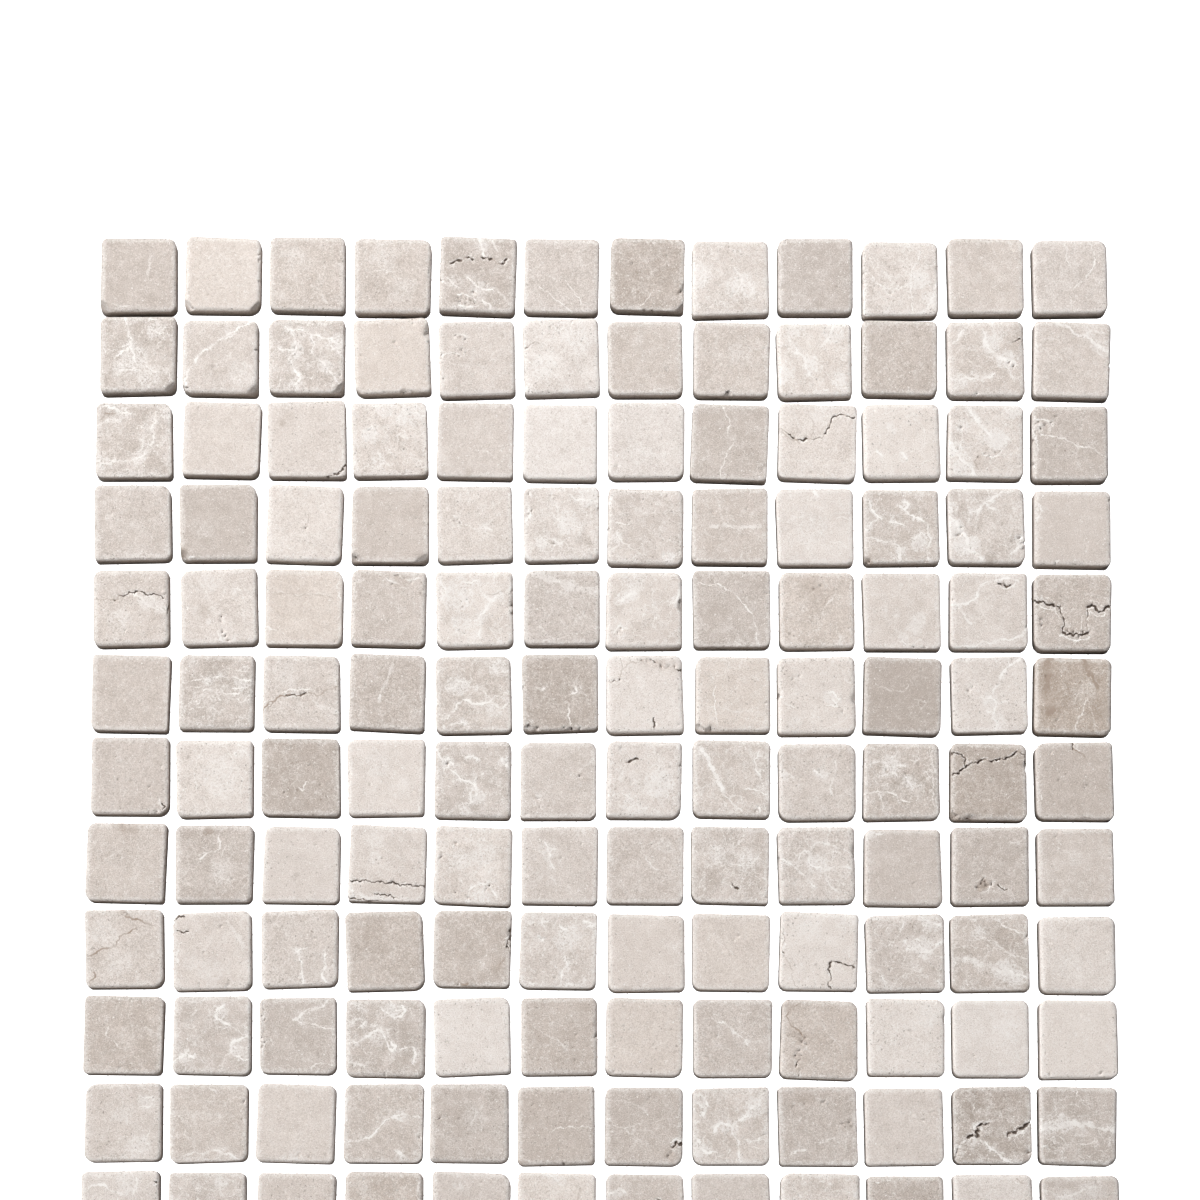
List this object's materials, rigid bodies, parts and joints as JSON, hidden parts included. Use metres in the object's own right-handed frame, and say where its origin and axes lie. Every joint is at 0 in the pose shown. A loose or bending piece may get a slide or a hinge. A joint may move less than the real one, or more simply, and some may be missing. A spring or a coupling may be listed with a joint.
{
  "type": "mosaic tile sheet",
  "caption": "Square sheet of tumbled beige marble mosaic chips set in even rows with open joints on a glass-fibre backing mesh.",
  "frame": {"origin": "middle of the sheet on the underside of the backing mesh, the plane that it lies on", "axes": "+X along the rows, +Y towards row 1 (the far row of the picture), +Z out of the stone face"},
  "size_m": [0.304, 0.3033, 0.0086],
  "materials": {
    "marble": "tumbled, matte, unsealed",
    "glass_mesh": "woven glass-fibre strands, resin coated"
  },
  "bodies": {
    "root": {"chip_row_01": "marble", "chip_row_02": "marble", "chip_row_03": "marble", "chip_row_04": "marble", "chip_row_05": "marble", "chip_row_06": "marble", "chip_row_07": "marble", "chip_row_08": "marble", "chip_row_09": "marble", "chip_row_10": "marble", "chip_row_11": "marble", "chip_row_12": "marble", "backing_mesh_01": "glass_mesh", "backing_mesh_02": "glass_mesh", "backing_mesh_03": "glass_mesh", "backing_mesh_04": "glass_mesh", "backing_mesh_05": "glass_mesh", "backing_mesh_06": "glass_mesh", "backing_mesh_07": "glass_mesh", "backing_mesh_08": "glass_mesh", "backing_mesh_09": "glass_mesh", "backing_mesh_10": "glass_mesh", "backing_mesh_11": "glass_mesh", "backing_mesh_12": "glass_mesh", "backing_mesh_13": "glass_mesh", "backing_mesh_14": "glass_mesh", "backing_mesh_15": "glass_mesh", "backing_mesh_16": "glass_mesh"}
  },
  "joints": []
}
